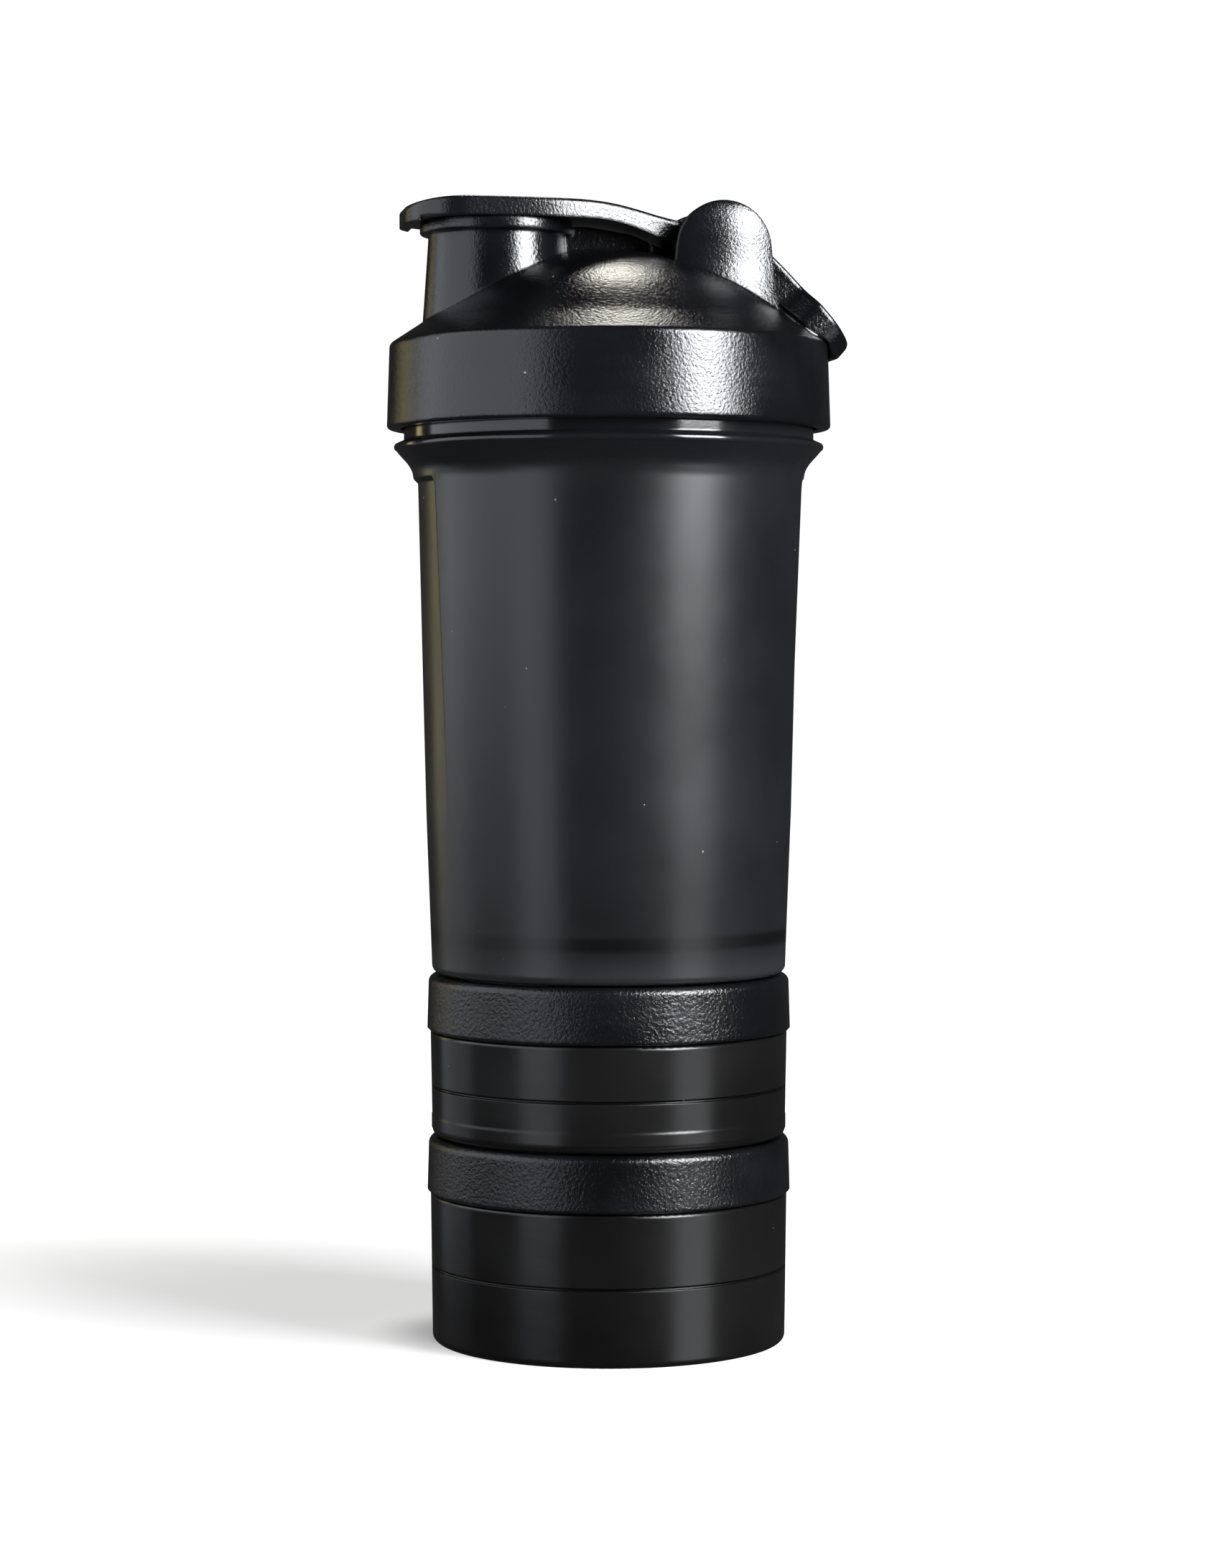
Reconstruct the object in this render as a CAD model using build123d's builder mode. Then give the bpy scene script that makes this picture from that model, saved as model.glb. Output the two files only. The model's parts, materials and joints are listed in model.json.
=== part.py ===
"""Protein shaker bottle with two stacked powder jars.

Millimetres, +Z up. The origin is the centre of the base. The pouring spout points
towards -X; the hinge of the flip cap and the carry loop is on the +X side.
"""

import os
from math import asin, atan2, cos, degrees, radians, sin, tan

from build123d import *

# Stack heights: the bottom of each piece's outer wall
JAR_LID_Z = 31.95
UPPER_JAR_Z = 44.0
UPPER_JAR_LID_Z = 66.35
CUP_Z = 78.4
FLANGE_Z = 189.8
LID_Z = 193.55

# Powder jars
JAR_FOOT_R = 37.55
JAR_SHOULDER_R = 37.95
JAR_BORE_R = 34.4
JAR_NECK_R = 36.0
JAR_NECK_H = 9.4
JAR_FLOOR = 1.8
JAR_GROOVE = 0.3
LOWER_GROOVE_Z = 16.3
UPPER_GROOVE_Z = 54.6
FOOT_ROUND = 1.4
FOOT_BAND_H = 4.6
FOOT_BAND_STEP = 0.18
SEAM = 0.3

# Jar lids, whose hollow boss carries the piece above
JAR_LID_R = 38.65
JAR_LID_TOP_R = 38.3
JAR_LID_BORE_R = 36.9
JAR_LID_H = 11.75
JAR_LID_WALL = 1.6
BOSS_R = 34.6
BOSS_H = 5.0
FOOT_BORE_R = 35.5
FOOT_BORE_DEPTH = 5.4

# Cup
CUP_FOOT_R = 37.55
CUP_SHOULDER_R = 41.3
CUP_SHOULDER_Z = 182.0
CUP_WALL = 2.2
CUP_FLOOR = 1.6
CUP_NECK_R = 42.2
CUP_COLLAR_R = 43.4
CUP_COLLAR_TOP_Z = 194.8
CUP_RIM_Z = 206.6
FLANGE_R = 45.5
FLANGE_RISE = 1.4
FLUTE_HALF_WIDTH = 14.0
FLUTE_BOTTOM_Z = 110.6
FLUTE_TOP_Z = 183.7
FLUTE_LEDGE = 1.6
FLUTE_DEPTH = 0.95
FLUTE_CORNER_R = 3.6

# Screw threads: rise per turn
LID_THREAD_LEAD = 9.0
JAR_THREAD_LEAD = 6.0
BOSS_THREAD_LEAD = 4.0

# Screw lid
LID_R = 47.0
LID_TOP_R = 46.4
LID_BORE_R = 44.2
LID_SHOULDER_Z = 211.4
LID_SHOULDER_EDGE = (40.6, 215.2)
LID_CROWN_Z = 231.4
LID_WALL = 2.0
SEAL_TOP_Z = 208.2

# Pouring spout
SPOUT_X = -24.0
SPOUT_BORE_R = 12.4
SPOUT_TOP_R = 14.3
SPOUT_BASE_R = 15.7
SPOUT_BASE_Z = 213.6
SPOUT_LIP_R = 16.1
SPOUT_LIP_H = 2.5
SPOUT_TOP_Z = 236.6

# Rib under the cap's arm, from the spout to the hinge, with one narrow notch
SPINE_HALF = 3.0
SPINE_TOP_Z = 236.0
SPINE_END_X = 14.5
NOTCH_X = 8.4
NOTCH_W = 0.45

# Hinge line, parallel to Y, shared by the flip cap and the carry loop
HINGE_X = 22.1
HINGE_Z = 230.6
EAR_R = 10.3
EAR_LEAN = 6
EAR_INNER_Y = 12.6
EAR_OUTER_Y = 16.4
EAR_FACE_R = 30.0
EAR_FACE_OFFSET = 2.0
POCKET_R = 6.9
TRUNNION_R = 2.95
SOCKET_R = 3.03
SOCKET_END_Y = 14.5

# Flip cap
CAP_TIP_X = -44.0
CAP_TAB_X = -41.4
CAP_TAB_Z = 235.9
CAP_SEAT_Z = 236.75
CAP_TOP_Z = 240.8
CAP_PLATE_HALF = 16.3
CAP_CORNER_R = 12.3
CAP_ARM_HALF = 8.8
CAP_ARM_BELLY = (4.2, 235.2)
CAP_ARM_HEEL = (12.3, 231.8)
CAP_HUB_R = 5.5
PLUG_R = 11.3
PLUG_WALL = 1.6
PLUG_DEPTH = 5.2
PLUG_SEAL_R = 11.9
PLUG_SEAL_Z = 233.2
PLUG_SEAL_H = 1.9

# Carry loop, drawn in its own slanted plane
LOOP_ANGLE = 45
LOOP_EYE_R = 6.2
LOOP_EYE_INNER_Y = 9.15
LOOP_EYE_OUTER_Y = 12.2
LOOP_HALF = 15.2
LOOP_FLARE = 16.5
LOOP_FLARE_L = 7.0
LOOP_TIP = 33.4
LOOP_BAR = 4.6
LOOP_LEG = 3.2
LOOP_UNDERSIDE = 1.1
LOOP_BOW = 0.97
LOOP_END_LEAN = 0.6
LOOP_LID_GAP = 0.35

# Whisk ball
BALL_R = 25.0
BALL_STEP = 0.4
BALL_WIRE_R = 1.1
BALL_HOOPS = 5
BALL_TILT = 14

HINGE = (HINGE_X, 0, HINGE_Z)
LOWER_SHOULDER_Z = JAR_LID_Z - SEAM
UPPER_SHOULDER_Z = UPPER_JAR_LID_Z - SEAM


# ------------------------------------------------------------ shared features
def screw_ridges(root_r, crest_r, start_z, lead, turns, width):
    """Two helical ridges of a male thread, to be added to a neck of radius root_r."""
    bury = 0.4
    height = crest_r - root_r
    with BuildPart() as ridge:
        with BuildLine() as path:
            Helix(pitch=lead, height=lead * turns, radius=root_r, center=(0, 0, start_z))
        with BuildSketch(Plane(origin=path.line @ 0, x_dir=(1, 0, 0), z_dir=path.line % 0)):
            with BuildLine():
                Polyline(
                    (-bury, -width / 2),
                    (height, -width / 4),
                    (height, width / 4),
                    (-bury, width / 2),
                    close=True,
                )
            make_face()
        sweep(is_frenet=True)
    with BuildPart() as ridges:
        with PolarLocations(0, 2):
            add(ridge.part)
    return ridges.part


def rim(part, height, tolerance=0.05):
    """Largest circular edge of a part at a given height."""
    level = part.edges().filter_by_position(Axis.Z, height - tolerance, height + tolerance)
    return level.filter_by(GeomType.CIRCLE).sort_by(SortBy.RADIUS)[-1]


def ring_seal(inner_r, outer_r, bottom_z, top_z):
    """Flat ring gasket with softened edges."""
    with BuildPart() as ring:
        with BuildSketch(Plane.XY.offset(bottom_z)):
            Circle(outer_r)
            Circle(inner_r, mode=Mode.SUBTRACT)
        extrude(amount=top_z - bottom_z)
        fillet(ring.edges().filter_by(GeomType.CIRCLE), radius=0.2)
    return ring.part


# ---------------------------------------------------------------- powder jars
def jar(base_z, shoulder_z, groove_z, hollow_foot):
    """Straight-bored jar with a shoulder, a threaded neck and a mould line round its side."""
    neck_top = shoulder_z + JAR_NECK_H
    floor_z = base_z + JAR_FLOOR + (FOOT_BORE_DEPTH if hollow_foot else 0)
    side_r = JAR_FOOT_R + (JAR_SHOULDER_R - JAR_FOOT_R) * (groove_z - base_z) / (shoulder_z - base_z)
    with BuildPart() as body:
        with BuildSketch(Plane.XZ):
            with BuildLine():
                Polyline(
                    (0, base_z),
                    (JAR_FOOT_R, base_z),
                    (JAR_SHOULDER_R, shoulder_z),
                    (JAR_NECK_R, shoulder_z),
                    (JAR_NECK_R, neck_top),
                    (0, neck_top),
                    close=True,
                )
            make_face()
        revolve(axis=Axis.Z)
        fillet(rim(body, base_z), radius=FOOT_ROUND)
        fillet(rim(body, shoulder_z), radius=0.5)
        with BuildSketch(Plane.XZ):
            with Locations((side_r, groove_z)):
                Rectangle(2 * JAR_GROOVE, JAR_GROOVE)
        revolve(axis=Axis.Z, mode=Mode.SUBTRACT)
        add(screw_ridges(JAR_NECK_R, JAR_NECK_R + 0.65, shoulder_z + 2.6, JAR_THREAD_LEAD, 0.7, 1.6))
        with BuildSketch(Plane.XY.offset(floor_z)):
            Circle(JAR_BORE_R)
        extrude(amount=neck_top - floor_z, mode=Mode.SUBTRACT)
        fillet(rim(body, floor_z), radius=2.0)
        if hollow_foot:
            with BuildSketch(Plane.XZ):
                with BuildLine():
                    Polyline(
                        (JAR_FOOT_R - 1, base_z + FOOT_ROUND),
                        (JAR_FOOT_R + FOOT_BAND_STEP, base_z + FOOT_ROUND + FOOT_BAND_STEP),
                        (JAR_FOOT_R + FOOT_BAND_STEP, base_z + FOOT_BAND_H - 2 * FOOT_BAND_STEP),
                        (JAR_FOOT_R - 1, base_z + FOOT_BAND_H),
                        close=True,
                    )
                make_face()
            revolve(axis=Axis.Z)
            with BuildSketch(Plane.XY.offset(base_z)):
                Circle(FOOT_BORE_R)
            extrude(amount=FOOT_BORE_DEPTH, mode=Mode.SUBTRACT)
    return body.part


def jar_lid(base_z):
    """Collar that screws over a jar's neck, with a hollow threaded boss on its top."""
    top_z = base_z + JAR_LID_H
    boss_z = top_z + BOSS_H
    with BuildPart() as collar:
        with BuildSketch(Plane.XZ):
            with BuildLine():
                Polyline(
                    (0, base_z),
                    (JAR_LID_R, base_z),
                    (JAR_LID_TOP_R, top_z),
                    (BOSS_R, top_z),
                    (BOSS_R, boss_z),
                    (0, boss_z),
                    close=True,
                )
            make_face()
        revolve(axis=Axis.Z)
        fillet(rim(collar, top_z), radius=1.6)
        chamfer(rim(collar, base_z), length=0.45)
        fillet(rim(collar, boss_z), radius=0.5)
        add(screw_ridges(BOSS_R, BOSS_R + 0.6, top_z + 1.5, BOSS_THREAD_LEAD, 0.42, 1.3))
        with BuildSketch(Plane.XZ):
            with BuildLine():
                Polyline(
                    (0, base_z),
                    (JAR_LID_BORE_R, base_z),
                    (JAR_LID_BORE_R, top_z - JAR_LID_WALL),
                    (BOSS_R - JAR_LID_WALL, top_z - JAR_LID_WALL),
                    (BOSS_R - JAR_LID_WALL, boss_z - JAR_LID_WALL),
                    (0, boss_z - JAR_LID_WALL),
                    close=True,
                )
            make_face()
        revolve(axis=Axis.Z, mode=Mode.SUBTRACT)
    return collar.part


def jar_seal(collar_z, shoulder_z):
    """Gasket between a jar's rim and the underside of its lid."""
    bottom_z = shoulder_z + JAR_NECK_H + 0.05
    top_z = collar_z + JAR_LID_H - JAR_LID_WALL - 0.05
    return ring_seal(JAR_BORE_R + 0.1, JAR_NECK_R, bottom_z, top_z)


lower_jar = jar(0, LOWER_SHOULDER_Z, LOWER_GROOVE_Z, hollow_foot=False)
lower_jar_seal = jar_seal(JAR_LID_Z, LOWER_SHOULDER_Z)
lower_jar_lid = jar_lid(JAR_LID_Z)
upper_jar = jar(UPPER_JAR_Z, UPPER_SHOULDER_Z, UPPER_GROOVE_Z, hollow_foot=True)
upper_jar_seal = jar_seal(UPPER_JAR_LID_Z, UPPER_SHOULDER_Z)
upper_jar_lid = jar_lid(UPPER_JAR_LID_Z)


# ------------------------------------------------------------------------ cup
def cup_r(z):
    """Outer radius of the tapered cup wall at height z."""
    return CUP_FOOT_R + (CUP_SHOULDER_R - CUP_FOOT_R) * (z - CUP_Z) / (CUP_SHOULDER_Z - CUP_Z)


cup_floor_z = CUP_Z + FOOT_BORE_DEPTH + CUP_FLOOR
flange_top_z = FLANGE_Z + FLANGE_RISE

with BuildPart() as cup_cavity:
    with BuildSketch(Plane.XZ):
        with BuildLine():
            Polyline(
                (0, cup_floor_z),
                (cup_r(cup_floor_z) - CUP_WALL, cup_floor_z),
                (cup_r(CUP_SHOULDER_Z) - CUP_WALL, CUP_SHOULDER_Z),
                (CUP_NECK_R - CUP_WALL, flange_top_z),
                (CUP_NECK_R - CUP_WALL, CUP_RIM_Z + 1),
                (0, CUP_RIM_Z + 1),
                close=True,
            )
        make_face()
    revolve(axis=Axis.Z)
    fillet(rim(cup_cavity, cup_floor_z), radius=3.0)

flute_half_angle = degrees(asin(FLUTE_HALF_WIDTH / CUP_FOOT_R)) + 2
flute_edge = radians(flute_half_angle)
flute_side = Plane(
    origin=(0, 0, 0),
    x_dir=(cos(flute_edge), -sin(flute_edge), 0),
    z_dir=(-sin(flute_edge), -cos(flute_edge), 0),
)

with BuildPart() as flute:
    with BuildSketch(flute_side):
        with BuildLine():
            Polyline(
                (cup_r(FLUTE_BOTTOM_Z) + 0.02, FLUTE_BOTTOM_Z),
                (cup_r(FLUTE_TOP_Z) - FLUTE_DEPTH, FLUTE_TOP_Z - FLUTE_LEDGE),
                (cup_r(FLUTE_TOP_Z) + 0.6, FLUTE_TOP_Z),
                (cup_r(FLUTE_TOP_Z) + 6.0, FLUTE_TOP_Z),
                (cup_r(FLUTE_TOP_Z) + 6.0, FLUTE_BOTTOM_Z),
                close=True,
            )
        make_face()
    revolve(axis=Axis.Z, revolution_arc=2 * flute_half_angle)
    with BuildSketch(Plane.YZ) as flute_face:
        with Locations((0, (FLUTE_BOTTOM_Z + FLUTE_TOP_Z) / 2)):
            Rectangle(2 * FLUTE_HALF_WIDTH, FLUTE_TOP_Z - FLUTE_BOTTOM_Z)
        fillet(flute_face.vertices().group_by(Axis.Y)[-1], radius=FLUTE_CORNER_R)
    extrude(amount=FLANGE_R + 10, mode=Mode.INTERSECT)

with BuildPart() as cup:
    with BuildSketch(Plane.XZ):
        with BuildLine():
            Polyline(
                (CUP_SHOULDER_R, CUP_SHOULDER_Z),
                (CUP_FOOT_R, CUP_Z),
                (0, CUP_Z),
                (0, CUP_RIM_Z),
                (CUP_NECK_R, CUP_RIM_Z),
                (CUP_NECK_R, CUP_COLLAR_TOP_Z),
                (CUP_COLLAR_R, CUP_COLLAR_TOP_Z),
                (CUP_COLLAR_R, flange_top_z),
                (FLANGE_R - 0.5, FLANGE_Z + 0.7),
            )
            ThreePointArc(
                (FLANGE_R - 0.5, FLANGE_Z + 0.7), (FLANGE_R, FLANGE_Z), (FLANGE_R - 0.5, FLANGE_Z - 0.8)
            )
            Spline(
                (FLANGE_R - 0.5, FLANGE_Z - 0.8),
                (FLANGE_R - 2.2, FLANGE_Z - 2.7),
                (CUP_SHOULDER_R + 0.75, FLANGE_Z - 4.4),
                (CUP_SHOULDER_R, CUP_SHOULDER_Z),
                tangents=[(-0.7, -1), (CUP_FOOT_R - CUP_SHOULDER_R, CUP_Z - CUP_SHOULDER_Z)],
            )
        make_face()
    revolve(axis=Axis.Z)
    fillet(rim(cup, CUP_Z), radius=1.8)
    fillet(rim(cup, CUP_RIM_Z), radius=0.7)
    with PolarLocations(0, 2):
        add(flute.part, mode=Mode.SUBTRACT)
    add(screw_ridges(CUP_NECK_R, CUP_NECK_R + 1.3, LID_Z + 2.2, LID_THREAD_LEAD, 0.8, 2.4))
    add(cup_cavity.part, mode=Mode.SUBTRACT)
    with BuildSketch(Plane.XY.offset(CUP_Z)):
        Circle(FOOT_BORE_R)
    extrude(amount=FOOT_BORE_DEPTH, mode=Mode.SUBTRACT)

lid_seal = ring_seal(CUP_NECK_R - CUP_WALL - 0.2, LID_BORE_R - 0.3, CUP_RIM_Z + 0.05, SEAL_TOP_Z - 0.05)

# ---------------------------------------------------------------- whisk ball
widest_hoop = BALL_R + BALL_STEP * (BALL_HOOPS - 1)
ball_centre = (0, 0, cup_floor_z + widest_hoop + BALL_WIRE_R + 0.1)

with BuildPart() as whisk_ball:
    for hoop in range(BALL_HOOPS):
        lean = 90 - BALL_TILT * cos(radians(144 * hoop))
        heading = 180 / BALL_HOOPS * hoop
        with Locations(Location(ball_centre, (lean, heading, 0))):
            Torus(BALL_R + BALL_STEP * hoop, BALL_WIRE_R)


# ------------------------------------------------------------------ screw lid
def dome_curve(drop):
    """Half section of the lid's dome, from its shoulder to its crown, moved down by drop."""
    edge_r, edge_z = LID_SHOULDER_EDGE
    Spline(
        (edge_r, edge_z - drop),
        (37.4, 217.6 - drop),
        (30.9, 222.4 - drop),
        (20.3, 227.7 - drop),
        (10.0, 230.5 - drop),
        (0, LID_CROWN_Z - drop),
        tangents=[(-1, 0.62), (-1, 0)],
    )


dome_drop = LID_WALL + 0.3
lip_z = SPOUT_TOP_Z - SPOUT_LIP_H
spout_taper = degrees(atan2(SPOUT_BASE_R - SPOUT_TOP_R, lip_z - SPOUT_BASE_Z))
hinge_line = Location(HINGE, (90, 0, 0))
spine_start_x = SPOUT_X + SPOUT_BORE_R + 1

with BuildPart() as lid_cavity:
    with BuildSketch(Plane.XZ):
        with BuildLine():
            dome_curve(dome_drop)
            Polyline(
                (0, LID_CROWN_Z - dome_drop),
                (0, LID_Z),
                (LID_BORE_R, LID_Z),
                (LID_BORE_R, SEAL_TOP_Z),
                (LID_SHOULDER_EDGE[0] - 0.4, SEAL_TOP_Z),
                (LID_SHOULDER_EDGE[0], LID_SHOULDER_EDGE[1] - dome_drop),
            )
        make_face()
    revolve(axis=Axis.Z)
    with Locations(hinge_line):
        Cylinder(POCKET_R + LID_WALL, 2 * EAR_OUTER_Y, mode=Mode.SUBTRACT)

ear_section = Plane(
    origin=(HINGE_X - EAR_FACE_OFFSET, EAR_FACE_R - EAR_OUTER_Y, 0), x_dir=(0, -1, 0), z_dir=(-1, 0, 0)
)
ear_lean = radians(EAR_LEAN)
ear_turn = (EAR_R * cos(ear_lean), EAR_R * sin(ear_lean))
ear_foot = ear_turn[0] + (HINGE_Z + ear_turn[1] - SPOUT_BASE_Z) * tan(ear_lean)

with BuildPart() as ear:
    with BuildSketch(Plane.XZ.offset(EAR_INNER_Y)):
        with BuildLine():
            crown = ThreePointArc(
                (HINGE_X - ear_turn[0], HINGE_Z + ear_turn[1]),
                (HINGE_X, HINGE_Z + EAR_R),
                (HINGE_X + ear_turn[0], HINGE_Z + ear_turn[1]),
            )
            Polyline(
                crown @ 1,
                (HINGE_X + ear_foot, SPOUT_BASE_Z),
                (HINGE_X - ear_foot, SPOUT_BASE_Z),
                crown @ 0,
            )
        make_face()
    extrude(amount=2 * EAR_INNER_Y)
    with BuildSketch(ear_section):
        with BuildLine():
            face = Spline(
                (EAR_FACE_R - 1.4, HINGE_Z + EAR_R + 0.2),
                (EAR_FACE_R, HINGE_Z + 2.0),
                (EAR_FACE_R + 0.1, HINGE_Z - 3.0),
                (EAR_FACE_R + 1.4, HINGE_Z - 9.5),
                (EAR_FACE_R + 4.6, SPOUT_BASE_Z - 1),
                tangents=[(0.5, -1), (0.6, -1)],
            )
            Polyline(face @ 1, (0, SPOUT_BASE_Z - 1), (0, HINGE_Z + EAR_R + 0.2), face @ 0)
        make_face()
    revolve(axis=Axis(ear_section.origin, (0, 0, 1)), mode=Mode.INTERSECT)

with BuildPart() as lid_shell:
    with BuildSketch(Plane.XZ):
        with BuildLine():
            dome_curve(0)
            Polyline(
                (0, LID_CROWN_Z),
                (0, LID_Z),
                (LID_R, LID_Z),
                (LID_TOP_R, LID_SHOULDER_Z),
                LID_SHOULDER_EDGE,
            )
        make_face()
    revolve(axis=Axis.Z)
    fillet(rim(lid_shell, LID_Z), radius=0.8)
    fillet(rim(lid_shell, LID_SHOULDER_Z), radius=1.4)
    add(ear.part)
    add(mirror(ear.part, about=Plane.XZ, mode=Mode.PRIVATE))
    with BuildSketch(Plane.XY.offset(SPOUT_BASE_Z)):
        with Locations((SPOUT_X, 0)):
            Circle(SPOUT_BASE_R)
    extrude(amount=lip_z - SPOUT_BASE_Z, taper=spout_taper)
    with BuildSketch(Plane.XY.offset(lip_z)):
        with Locations((SPOUT_X, 0)):
            Circle(SPOUT_LIP_R)
    extrude(amount=SPOUT_LIP_H)
    with BuildSketch(Plane.XZ.offset(-SPINE_HALF)):
        with BuildLine():
            Polyline(
                (spine_start_x, SPOUT_BASE_Z),
                (spine_start_x, SPINE_TOP_Z),
                (CAP_ARM_BELLY[0] - 9.0, SPINE_TOP_Z),
                (CAP_ARM_BELLY[0], CAP_ARM_BELLY[1] - 0.6),
                (CAP_ARM_HEEL[0], CAP_ARM_HEEL[1] - 0.6),
                (SPINE_END_X, CAP_ARM_HEEL[1] - 2.0),
                (SPINE_END_X, SPOUT_BASE_Z),
                close=True,
            )
        make_face()
        with Locations((NOTCH_X, SPINE_TOP_Z)):
            Rectangle(NOTCH_W, 2 * (SPINE_TOP_Z - LID_CROWN_Z + 0.5), mode=Mode.SUBTRACT)
    extrude(amount=2 * SPINE_HALF)
    add(lid_cavity.part, mode=Mode.SUBTRACT)
    with BuildSketch(Plane.XY.offset(SPOUT_TOP_Z)):
        with Locations((SPOUT_X, 0)):
            Circle(SPOUT_BORE_R)
    extrude(amount=LID_Z - SPOUT_TOP_Z, mode=Mode.SUBTRACT)
    with Locations(hinge_line):
        Cylinder(POCKET_R, 2 * EAR_INNER_Y, mode=Mode.SUBTRACT)
        Cylinder(SOCKET_R, 2 * SOCKET_END_Y, mode=Mode.SUBTRACT)
    fillet(rim(lid_shell, lip_z), radius=0.6)

# ------------------------------------------------------------------- flip cap
with BuildPart() as flip_cap:
    with BuildSketch(Plane.XZ.offset(-20)):
        with BuildLine():
            back = Spline(
                (CAP_TIP_X, CAP_TOP_Z - 1.5),
                (-38.0, CAP_TOP_Z - 0.35),
                (-28.0, CAP_TOP_Z),
                (-13.0, CAP_TOP_Z - 0.1),
                (0.5, CAP_TOP_Z - 0.9),
                (14.0, CAP_TOP_Z - 3.9),
                (HINGE_X - 1.5, HINGE_Z + CAP_HUB_R - 0.3),
                tangents=[(1, 0.3), (1, -0.2)],
            )
            Polyline(
                back @ 1,
                (HINGE_X, HINGE_Z),
                (HINGE_X - 4.2, HINGE_Z - 2.2),
                CAP_ARM_HEEL,
            )
            ThreePointArc(CAP_ARM_HEEL, CAP_ARM_BELLY, (-5.0, CAP_SEAT_Z))
            Polyline(
                (-5.0, CAP_SEAT_Z),
                (CAP_TAB_X, CAP_SEAT_Z),
                (CAP_TAB_X, CAP_TAB_Z),
                (CAP_TIP_X, CAP_TAB_Z),
                back @ 0,
            )
        make_face()
    extrude(amount=40)
    with BuildSketch(Plane.XY.offset(HINGE_Z - 10)) as cap_plan:
        with BuildLine():
            side = Spline(
                (SPOUT_X - 2, CAP_PLATE_HALF),
                (SPOUT_X + 10, CAP_PLATE_HALF - 0.6),
                (0, 12.1),
                (HINGE_X - 8, CAP_ARM_HALF),
                tangents=[(1, 0), (1, -0.12)],
            )
            Polyline(side @ 1, (HINGE_X + 6, CAP_ARM_HALF), (HINGE_X + 6, 0), (CAP_TIP_X, 0))
            Polyline((CAP_TIP_X, 0), (CAP_TIP_X, CAP_PLATE_HALF), side @ 0)
        make_face()
        fillet(cap_plan.vertices().sort_by_distance((CAP_TIP_X, CAP_PLATE_HALF))[0], radius=CAP_CORNER_R)
        mirror(about=Plane.XZ)
    extrude(amount=25, mode=Mode.INTERSECT)
    upper_edges = flip_cap.edges().filter_by_position(Axis.Z, CAP_TOP_Z - 1.2, CAP_TOP_Z)
    fillet(upper_edges.filter_by_position(Axis.X, CAP_TIP_X, 0), radius=0.9)
    with Locations(hinge_line):
        Cylinder(CAP_HUB_R, 2 * CAP_ARM_HALF)
        Cylinder(TRUNNION_R, 2 * SOCKET_END_Y - 0.4)
    with BuildSketch(Plane.XY.offset(CAP_SEAT_Z + 0.5)):
        with Locations((SPOUT_X, 0)):
            Circle(PLUG_R)
            Circle(PLUG_R - PLUG_WALL, mode=Mode.SUBTRACT)
    extrude(amount=-PLUG_DEPTH - 0.5)
    with BuildSketch(Plane.XY.offset(PLUG_SEAL_Z)):
        with Locations((SPOUT_X, 0)):
            Circle(PLUG_R + 1)
            Circle(PLUG_R - 0.5, mode=Mode.SUBTRACT)
    extrude(amount=PLUG_SEAL_H, mode=Mode.SUBTRACT)

with BuildPart() as plug_seal:
    with BuildSketch(Plane.XY.offset(PLUG_SEAL_Z + 0.05)):
        with Locations((SPOUT_X, 0)):
            Circle(PLUG_SEAL_R)
            Circle(PLUG_R - 0.45, mode=Mode.SUBTRACT)
    extrude(amount=PLUG_SEAL_H - 0.1)
    fillet(plug_seal.edges().filter_by(GeomType.CIRCLE).group_by(SortBy.RADIUS)[-1], radius=0.4)

# ----------------------------------------------------------------- carry loop
slope = radians(LOOP_ANGLE)
loop_along = (cos(slope), 0, -sin(slope))
loop_plan = Plane(origin=HINGE, x_dir=loop_along, z_dir=(sin(slope), 0, cos(slope)))
loop_side = Plane(origin=HINGE, x_dir=loop_along, z_dir=(0, -1, 0))


def loop_outline(eye_y, flare_y, tip):
    """Outline of the loop in its own plane: two straight eyes that flare out to a broad tip."""
    for side in (1, -1):
        Line((0, side * eye_y), (LOOP_FLARE, side * eye_y))
        Spline(
            (LOOP_FLARE, side * eye_y),
            (LOOP_FLARE + LOOP_FLARE_L, side * flare_y),
            tangents=[(1, 0), (1, 0)],
        )
        Line((LOOP_FLARE + LOOP_FLARE_L, side * flare_y), (tip, side * flare_y))
    Line((0, eye_y), (0, -eye_y))
    Line((tip, flare_y), (tip, -flare_y))


def on_loop_shoulder(edge):
    """True for the long outer edges of the loop's upper face."""
    place = loop_plan.to_local_coords(edge.center())
    high = place.Z > LOOP_EYE_R - 0.7 and place.X > 0.5
    return high and abs(place.Y) > LOOP_EYE_OUTER_Y - 0.1 and edge.length > 1


with BuildPart() as lid_clearance:
    with BuildSketch(Plane.XZ):
        with BuildLine():
            dome_curve(-LOOP_LID_GAP)
            Polyline(
                (0, LID_CROWN_Z + LOOP_LID_GAP),
                (0, LID_Z),
                (LID_R + LOOP_LID_GAP, LID_Z),
                (LID_TOP_R + LOOP_LID_GAP, LID_SHOULDER_Z),
                (LID_TOP_R - 0.6, LID_SHOULDER_Z + 1.0),
                (LID_SHOULDER_EDGE[0], LID_SHOULDER_EDGE[1] + LOOP_LID_GAP),
            )
        make_face()
    revolve(axis=Axis.Z)

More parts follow.
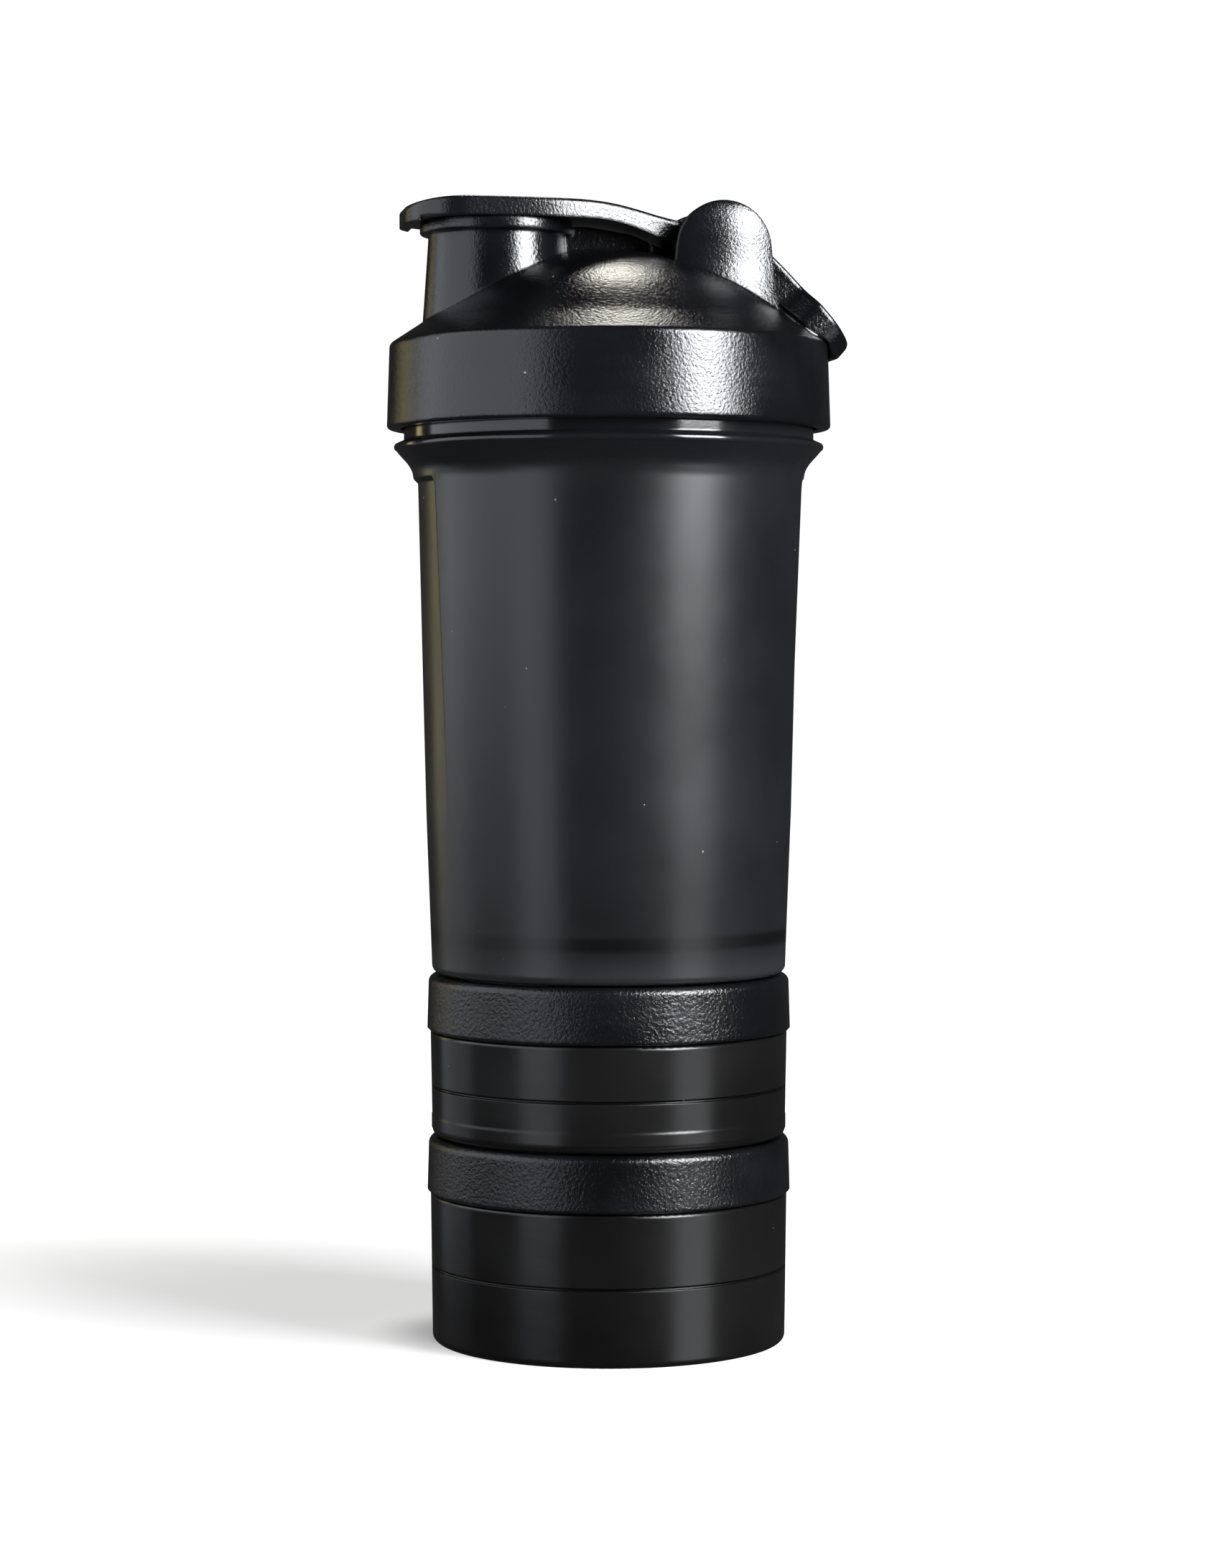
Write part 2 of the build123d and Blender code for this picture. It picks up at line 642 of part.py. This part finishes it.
with BuildPart() as carry_loop:
    with BuildSketch(loop_plan) as loop_outer:
        with BuildLine():
            loop_outline(LOOP_EYE_OUTER_Y, LOOP_HALF, LOOP_TIP + LOOP_END_LEAN)
        make_face()
        fillet(loop_outer.vertices().group_by(Axis.X)[-1], radius=9.0)
    extrude(amount=LOOP_EYE_R + 2)
    with BuildSketch(loop_plan) as loop_window:
        with BuildLine():
            loop_outline(LOOP_EYE_INNER_Y, LOOP_HALF - LOOP_LEG, LOOP_TIP - LOOP_BAR)
        make_face()
        fillet(loop_window.vertices().group_by(Axis.X)[-1], radius=5.0)
    extrude(amount=LOOP_EYE_R + 2, mode=Mode.SUBTRACT)
    with BuildSketch(loop_side.offset(-20)) as loop_edge:
        with BuildLine():
            bow = Spline(
                (0, LOOP_EYE_R),
                (6.0, LOOP_EYE_R + 0.75),
                (12.0, LOOP_EYE_R + LOOP_BOW),
                (18.0, LOOP_EYE_R + 0.85),
                (24.0, LOOP_EYE_R + 0.55),
                (LOOP_TIP, LOOP_EYE_R - 0.1),
            )
            Polyline(
                bow @ 1,
                (LOOP_TIP + LOOP_END_LEAN - 0.1, LOOP_UNDERSIDE + 0.3),
                (LOOP_TIP - 9, LOOP_UNDERSIDE),
                (0, LOOP_UNDERSIDE),
                (0, LOOP_EYE_R),
            )
        make_face()
        fillet(loop_edge.vertices().group_by(Axis.X)[-2:], radius=1.6)
    extrude(amount=40, mode=Mode.INTERSECT)
    for side in (-1, 1):
        eye_y = side * (LOOP_EYE_INNER_Y + LOOP_EYE_OUTER_Y) / 2
        with Locations(Location((HINGE_X, eye_y, HINGE_Z), (90, 0, 0))):
            Cylinder(LOOP_EYE_R, LOOP_EYE_OUTER_Y - LOOP_EYE_INNER_Y)
    with Locations(hinge_line):
        Cylinder(SOCKET_R, 4 * EAR_OUTER_Y, mode=Mode.SUBTRACT)
    add(lid_clearance.part, mode=Mode.SUBTRACT)
    fillet(carry_loop.edges().filter_by(on_loop_shoulder), radius=0.8)

# ---------------------------------------------------------------- export
pieces = {
    "lower_jar": lower_jar,
    "lower_jar_seal": lower_jar_seal,
    "lower_jar_lid": lower_jar_lid,
    "upper_jar": upper_jar,
    "upper_jar_seal": upper_jar_seal,
    "upper_jar_lid": upper_jar_lid,
    "cup": cup.part,
    "whisk_ball": whisk_ball.part,
    "lid_seal": lid_seal,
    "lid_shell": lid_shell.part,
    "flip_cap": flip_cap.part,
    "plug_seal": plug_seal.part,
    "carry_loop": carry_loop.part,
}

os.makedirs("parts", exist_ok=True)
for name, piece in pieces.items():
    piece.label = name
    export_step(piece, f"parts/{name}.step")
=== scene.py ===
import json
from math import cos, pi, radians, sin

import bpy
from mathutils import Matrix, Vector

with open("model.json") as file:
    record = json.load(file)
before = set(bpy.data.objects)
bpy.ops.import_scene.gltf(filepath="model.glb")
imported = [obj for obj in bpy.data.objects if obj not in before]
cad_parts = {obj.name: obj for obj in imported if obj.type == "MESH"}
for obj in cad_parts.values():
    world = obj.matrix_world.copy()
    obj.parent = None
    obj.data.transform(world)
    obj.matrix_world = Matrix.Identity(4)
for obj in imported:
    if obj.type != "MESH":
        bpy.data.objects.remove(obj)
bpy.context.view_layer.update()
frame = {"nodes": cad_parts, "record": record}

NODES = frame["nodes"]

# Camera: seen a little from the spout's side, level with the middle of the bottle
VIEW_AZIMUTH = -9.5
CAMERA_DISTANCE = 0.810
CAMERA_HEIGHT = 0.1468
CAMERA_LENS = 87.4
AIM_HEIGHT = 0.1184
AIM_SIDE = -0.00045
SENSOR = 36.0
CLIP_START = 0.05

# Heights of details that the materials follow
CUP_FOOT_Z = 0.0790
CUP_FLOOR_Z = 0.0868
FLANGE_FOOT_Z = 0.1850
NECK_Z = 0.1900
JAR_SEAMS = (0.0163, 0.0546)

# Colours of the plastics, each between a dark and a light tone
BLACK = ((0.0018, 0.0019, 0.0024), (0.0034, 0.0036, 0.0046))
CUP = ((0.0038, 0.0040, 0.0048), (0.0058, 0.0060, 0.0072))
# Painted light: paler colour of the solid foot, standing in for light held in the thick smoky
# plastic
PAINTED_FOOT_LIGHT = (0.024, 0.025, 0.027)
# Painted shade: dark band where the shaded inner floor shows through the smoky wall
PAINTED_FLOOR_SHADE = (0.0008, 0.0008, 0.001)
JAR = ((0.0024, 0.0024, 0.0024), (0.0040, 0.0039, 0.0038))
RUBBER = ((0.03, 0.03, 0.034), (0.05, 0.05, 0.055))
STEEL = ((0.55, 0.55, 0.54), (0.72, 0.72, 0.70))

# Dust: the smallest speck's share of the largest radius, and the faintest one's of full strength
SMALLEST_SPECK = 0.25
FAINTEST_SPECK = 0.15

# Studio: a wide floor, its white and the backdrop's, and the little light the dark room gives
FLOOR_RADIUS = 30.0
WHITE_GLOW = 1.05
ROOM_GLOW = 0.03

# Colours of the lights
COOL = (0.88, 0.92, 1.0)
NEUTRAL = (0.95, 0.97, 1.0)
WARM = (1.0, 0.97, 0.88)
YELLOW = (1.0, 0.86, 0.42)


# ------------------------------------------------------------------ node help
class Shader:
    """Builds one procedural material around a Principled shader."""

    def __init__(self, name):
        self.material = bpy.data.materials.new(name)
        self.material.use_nodes = True
        self.tree = self.material.node_tree
        self.bsdf = self.tree.nodes["Principled BSDF"]
        self.place = self.node("ShaderNodeTexCoord").outputs["Object"]

    def node(self, kind, **settings):
        made = self.tree.nodes.new(kind)
        for key, value in settings.items():
            setattr(made, key, value)
        return made

    def link(self, source, target):
        self.tree.links.new(source, target)

    def noise(self, size, detail=2.0, stretch=(1, 1, 1), roughness=0.5):
        """Noise whose features are about size metres across, between 0 and 1."""
        mapping = self.node("ShaderNodeMapping")
        mapping.inputs["Scale"].default_value = stretch
        self.link(self.place, mapping.inputs["Vector"])
        texture = self.node("ShaderNodeTexNoise")
        texture.inputs["Scale"].default_value = 1 / size
        texture.inputs["Detail"].default_value = detail
        texture.inputs["Roughness"].default_value = roughness
        self.link(mapping.outputs["Vector"], texture.inputs["Vector"])
        return texture.outputs["Fac"]

    def ranged(self, value, low, high, to_low, to_high, smooth=False):
        """value, taken from low..high to to_low..to_high."""
        made = self.node("ShaderNodeMapRange")
        made.interpolation_type = "SMOOTHSTEP" if smooth else "LINEAR"
        numbers = (("From Min", low), ("From Max", high), ("To Min", to_low), ("To Max", to_high))
        for socket, number in numbers:
            made.inputs[socket].default_value = number
        self.link(value, made.inputs["Value"])
        return made.outputs["Result"]

    def math(self, operation, a, b):
        made = self.node("ShaderNodeMath", operation=operation)
        for socket, value in zip(made.inputs, (a, b)):
            if isinstance(value, (int, float)):
                socket.default_value = value
            else:
                self.link(value, socket)
        return made.outputs[0]

    def mix(self, factor, a, b):
        """Colour a where factor is 0 and b where it is 1."""
        made = self.node("ShaderNodeMix", data_type="RGBA")
        self.link(factor, made.inputs[0])
        for socket, value in ((made.inputs[6], a), (made.inputs[7], b)):
            if isinstance(value, tuple):
                socket.default_value = (*value, 1)
            else:
                self.link(value, socket)
        return made.outputs[2]

    def height(self):
        """Height above the base in metres."""
        split = self.node("ShaderNodeSeparateXYZ")
        self.link(self.place, split.inputs[0])
        return split.outputs["Z"]

    def band(self, centre, half, soft):
        """1 in a level band around centre, falling to 0 over soft metres on each side."""
        away = self.math("ABSOLUTE", self.math("SUBTRACT", self.height(), centre), 0)
        return self.ranged(away, half, half + soft, 1, 0, smooth=True)

    def bump(self, value, strength, distance, below=None):
        made = self.node("ShaderNodeBump")
        made.inputs["Strength"].default_value = strength
        made.inputs["Distance"].default_value = distance
        self.link(value, made.inputs["Height"])
        if below is not None:
            self.link(below, made.inputs["Normal"])
        return made.outputs["Normal"]

    def rounded(self, radius):
        """Surface direction with every edge rounded off by radius."""
        made = self.node("ShaderNodeBevel", samples=6)
        made.inputs["Radius"].default_value = radius
        return made.outputs["Normal"]

    def cloud(self, size, low=0.35, high=0.65):
        """Soft patches between 0 and 1, cut off where the noise is below low or above high."""
        return self.ranged(self.noise(size, detail=3), low, high, 0, 1)

    def specks(self, cell, radius, share):
        """Sparse dust specks of many sizes: up to 1 inside a speck, 0 outside."""
        texture = self.node("ShaderNodeTexVoronoi")
        texture.inputs["Scale"].default_value = 1 / cell
        self.link(self.place, texture.inputs["Vector"])
        split = self.node("ShaderNodeSeparateColor")
        self.link(texture.outputs["Color"], split.inputs[0])
        red, green, blue = split.outputs
        reach = self.ranged(green, 0, 1, SMALLEST_SPECK * radius / cell, radius / cell)
        inside = self.math("LESS_THAN", texture.outputs["Distance"], reach)
        chosen = self.math("LESS_THAN", red, share)
        seen = self.ranged(blue, 0, 1, FAINTEST_SPECK, 1)
        return self.math("MULTIPLY", self.math("MULTIPLY", inside, chosen), seen)

    def finish(self, colour, roughness, normal):
        """Links the three results to the surface and returns the material."""
        for socket, value in (("Base Color", colour), ("Roughness", roughness), ("Normal", normal)):
            self.link(value, self.bsdf.inputs[socket])
        return self.material


def moulded_plastic(name, rough, grain, grain_depth):
    """Opaque injection-moulded plastic: cloudy colour, spark-eroded grain, flow marks and dust."""
    shader = Shader(name)
    cloud = shader.cloud(size=0.018)
    flow = shader.ranged(shader.noise(size=0.020, stretch=(1, 1, 6)), 0.4, 0.62, 0, 1)
    dust = shader.specks(cell=0.004, radius=0.00022, share=0.16)
    colour = shader.mix(dust, shader.mix(cloud, *BLACK), (0.35, 0.35, 0.34))
    clouded = shader.math("MULTIPLY", cloud, 0.6)
    worn = shader.math("ADD", clouded, shader.math("MULTIPLY", flow, 0.4))
    roughness = shader.ranged(worn, 0, 1, *rough)
    ripple = shader.noise(size=0.011)
    broad = shader.bump(ripple, strength=0.22, distance=0.00012, below=shader.rounded(0.0008))
    pits = shader.noise(grain, detail=3, roughness=0.6)
    fine = shader.bump(pits, strength=0.9, distance=grain_depth, below=broad)
    return shader.finish(colour, roughness, fine)


def smoky_cup():
    """Satin smoke-tinted polypropylene, with painted light at the thick foot and painted shade where
    the inner floor shows through.
    """
    shader = Shader("cup_smoke")
    cloud = shader.cloud(size=0.035)
    colour = shader.mix(cloud, *CUP)
    # Painted light: the solid foot made paler, standing in for light held in the thick smoky plastic
    foot = shader.ranged(shader.height(), CUP_FOOT_Z, CUP_FOOT_Z + 0.007, 1, 0, smooth=True)
    colour = shader.mix(shader.math("MULTIPLY", foot, 0.4), colour, PAINTED_FOOT_LIGHT)
    # Painted shade: a dark band where the shaded inner floor shows through the smoky wall
    floor_shade_band = shader.band(CUP_FLOOR_Z, half=0.0007, soft=0.0014)
    colour = shader.mix(shader.math("MULTIPLY", floor_shade_band, 0.9), colour, PAINTED_FLOOR_SHADE)
    dust = shader.specks(cell=0.0045, radius=0.00026, share=0.20)
    colour = shader.mix(dust, colour, (0.22, 0.22, 0.22))
    glossy_neck = shader.ranged(shader.height(), FLANGE_FOOT_Z, NECK_Z, 0, 0.19)
    satin = shader.ranged(cloud, 0, 1, 0.27, 0.33)
    roughness = shader.math("SUBTRACT", satin, glossy_neck)
    swell = shader.noise(size=0.045, detail=1, stretch=(1, 1, 0.5))
    wave = shader.bump(swell, strength=0.5, distance=0.0016, below=shader.rounded(0.0006))
    ripple = shader.noise(size=0.016, stretch=(1, 1, 0.6))
    broad = shader.bump(ripple, strength=0.3, distance=0.00025, below=wave)
    fine = shader.bump(shader.noise(size=0.0006), strength=0.35, distance=0.000012, below=broad)
    return shader.finish(colour, roughness, fine)


def smoky_jar():
    """Glossier smoke-tinted plastic of the powder jars, with the line that runs round each jar."""
    shader = Shader("jar_smoke")
    cloud = shader.cloud(size=0.03)
    dust = shader.specks(cell=0.0045, radius=0.00026, share=0.20)
    colour = shader.mix(dust, shader.mix(cloud, *JAR), (0.3, 0.3, 0.3))
    roughness = shader.ranged(cloud, 0, 1, 0.20, 0.27)
    lower, upper = [shader.band(seam, half=0.0001, soft=0.0003) for seam in JAR_SEAMS]
    wall = shader.math("SUBTRACT", 1, shader.math("ADD", lower, upper))
    groove = shader.bump(wall, strength=1.0, distance=0.0005, below=shader.rounded(0.0006))
    ripple = shader.noise(size=0.014, stretch=(1, 1, 2))
    broad = shader.bump(ripple, strength=0.3, distance=0.00016, below=groove)
    fine = shader.bump(shader.noise(size=0.0005), strength=0.3, distance=0.000008, below=broad)
    return shader.finish(colour, roughness, fine)


def silicone():
    """Soft matt gasket rubber."""
    shader = Shader("silicone")
    cloud = shader.cloud(size=0.006, low=0.3, high=0.7)
    roughness = shader.ranged(cloud, 0, 1, 0.55, 0.7)
    normal = shader.bump(shader.noise(size=0.0007), strength=0.4, distance=0.00002)
    return shader.finish(shader.mix(cloud, *RUBBER), roughness, normal)


def drawn_steel():
    """Bright drawn stainless wire."""
    shader = Shader("steel")
    streak = shader.noise(size=0.0012, detail=3)
    roughness = shader.ranged(streak, 0.3, 0.7, 0.16, 0.30)
    normal = shader.bump(shader.noise(size=0.0004), strength=0.3, distance=0.00001)
    shader.bsdf.inputs["Metallic"].default_value = 1.0
    return shader.finish(shader.mix(streak, *STEEL), roughness, normal)


# ------------------------------------------------------------------ materials
MATERIALS = {
    "lid_black": moulded_plastic("lid_black", (0.13, 0.21), grain=0.0006, grain_depth=0.00010),
    "collar_black": moulded_plastic("collar_black", (0.15, 0.27), grain=0.0007, grain_depth=0.00020),
    "cup_smoke": smoky_cup(),
    "jar_smoke": smoky_jar(),
    "silicone": silicone(),
    "steel": drawn_steel(),
}

GRAINED = ("lower_jar_lid", "upper_jar_lid")

for part in frame["record"]["subparts"]:
    piece = NODES[part["node"]]
    skin = "collar_black" if part["node"] in GRAINED else part["material_slot"]
    for held in piece.material_slots:
        held.material = MATERIALS[skin]


# --------------------------------------------------------------------- camera
def direction(azimuth):
    """Level unit vector from the bottle's axis, turned to the right of the camera's side."""
    a = radians(VIEW_AZIMUTH + azimuth)
    return Vector((sin(a), -cos(a), 0))


def point(thing, target):
    """Turns a camera or a lamp towards target."""
    thing.rotation_mode = "QUATERNION"
    thing.rotation_quaternion = (target - thing.location).to_track_quat("-Z", "Y")


def make_camera():
    lens = bpy.data.cameras.new("camera")
    lens.lens = CAMERA_LENS
    lens.sensor_width = SENSOR
    lens.clip_start = CLIP_START
    camera = bpy.data.objects.new("camera", lens)
    bpy.context.scene.collection.objects.link(camera)
    camera.location = direction(0) * CAMERA_DISTANCE + Vector((0, 0, CAMERA_HEIGHT))
    point(camera, direction(90) * AIM_SIDE + Vector((0, 0, AIM_HEIGHT)))
    bpy.context.scene.camera = camera


# --------------------------------------------------------------------- studio
def panel(name, azimuth, height, distance, size, radiance, tint, aim):
    """Rectangular soft light beside the bottle, turned towards the height aim on its axis."""
    light = bpy.data.lights.new(name, "AREA")
    light.shape = "RECTANGLE"
    light.size, light.size_y = size
    light.energy = radiance * pi * size[0] * size[1]
    light.color = tint
    lamp = bpy.data.objects.new(name, light)
    bpy.context.scene.collection.objects.link(lamp)
    lamp.location = direction(azimuth) * distance + Vector((0, 0, height))
    point(lamp, Vector((0, 0, aim)))
    lamp.visible_camera = False


def make_floor():
    """White floor: a broad soft shadow on the left behind, a small one at the bottle's foot."""
    bpy.ops.mesh.primitive_circle_add(vertices=96, radius=FLOOR_RADIUS, fill_type="NGON")
    floor = bpy.context.object
    floor.name = "floor"
    material = bpy.data.materials.new("floor")
    material.use_nodes = True
    tree = material.node_tree
    bsdf = tree.nodes["Principled BSDF"]
    place = tree.nodes.new("ShaderNodeNewGeometry")

    def shadow(centre, near, far, depth, full):
        """depth at the shadow's centre, rising to full from far metres outwards."""
        away = tree.nodes.new("ShaderNodeVectorMath")
        away.operation = "DISTANCE"
        away.inputs[1].default_value = centre
        fade = tree.nodes.new("ShaderNodeMapRange")
        fade.interpolation_type = "SMOOTHSTEP"
        numbers = (("From Min", near), ("From Max", far), ("To Min", depth), ("To Max", full))
        for socket, number in numbers:
            fade.inputs[socket].default_value = number
        tree.links.new(place.outputs["Position"], away.inputs[0])
        tree.links.new(away.outputs["Value"], fade.inputs["Value"])
        return fade.outputs["Result"]

    both = tree.nodes.new("ShaderNodeMath")
    both.operation = "MULTIPLY"
    broad = shadow(direction(-130) * 0.085, near=0.02, far=0.18, depth=0.58, full=WHITE_GLOW)
    contact = shadow(direction(-108) * 0.022, near=0.010, far=0.034, depth=0.25, full=1.0)
    tree.links.new(broad, both.inputs[0])
    tree.links.new(contact, both.inputs[1])
    tree.links.new(both.outputs[0], bsdf.inputs["Emission Strength"])
    bsdf.inputs["Base Color"].default_value = (0.25, 0.25, 0.245, 1)
    bsdf.inputs["Roughness"].default_value = 0.9
    bsdf.inputs["Emission Color"].default_value = (1, 1, 0.99, 1)
    floor.data.materials.append(material)
    floor.visible_glossy = False
    floor.visible_shadow = False


def make_world():
    """White to the camera, nearly dark to everything else, as in a studio with black flags."""
    world = bpy.data.worlds.new("studio")
    world.use_nodes = True
    tree = world.node_tree
    back = tree.nodes["Background"]
    path = tree.nodes.new("ShaderNodeLightPath")
    shade = tree.nodes.new("ShaderNodeMapRange")
    shade.inputs["To Min"].default_value = ROOM_GLOW
    shade.inputs["To Max"].default_value = WHITE_GLOW
    tree.links.new(path.outputs["Is Camera Ray"], shade.inputs["Value"])
    tree.links.new(shade.outputs["Result"], back.inputs["Strength"])
    back.inputs["Color"].default_value = (1, 1, 0.995, 1)
    bpy.context.scene.world = world


def make_lights():
    """A tall window on the left, a key on the right and a small warm light high behind."""
    panel("left_window_top", azimuth=-75, height=0.69, distance=1.0, size=(1.80, 1.28),
          radiance=1.75, tint=COOL, aim=0.69)
    panel("left_window_inner", azimuth=-44, height=-0.03, distance=1.0, size=(0.46, 0.24),
          radiance=1.35, tint=COOL, aim=-0.03)
    panel("left_window_outer", azimuth=-116, height=-0.03, distance=1.0, size=(0.66, 0.24),
          radiance=0.42, tint=COOL, aim=-0.03)
    panel("right_key", azimuth=51, height=0.50, distance=0.85, size=(0.36, 0.50),
          radiance=46, tint=NEUTRAL, aim=0.2)
    panel("right_low", azimuth=55, height=-0.17, distance=0.9, size=(0.40, 0.28),
          radiance=1.9, tint=NEUTRAL, aim=-0.17)
    panel("back_top", azimuth=177, height=1.17, distance=0.68, size=(0.18, 0.15),
          radiance=28, tint=WARM, aim=0.22)
    panel("warm_edge", azimuth=-130, height=0.22, distance=0.9, size=(0.10, 0.36),
          radiance=2.0, tint=YELLOW, aim=0.2)


make_camera()
make_floor()
make_world()
make_lights()

view = bpy.context.scene.view_settings
view.view_transform = "Standard"
view.look = "None"
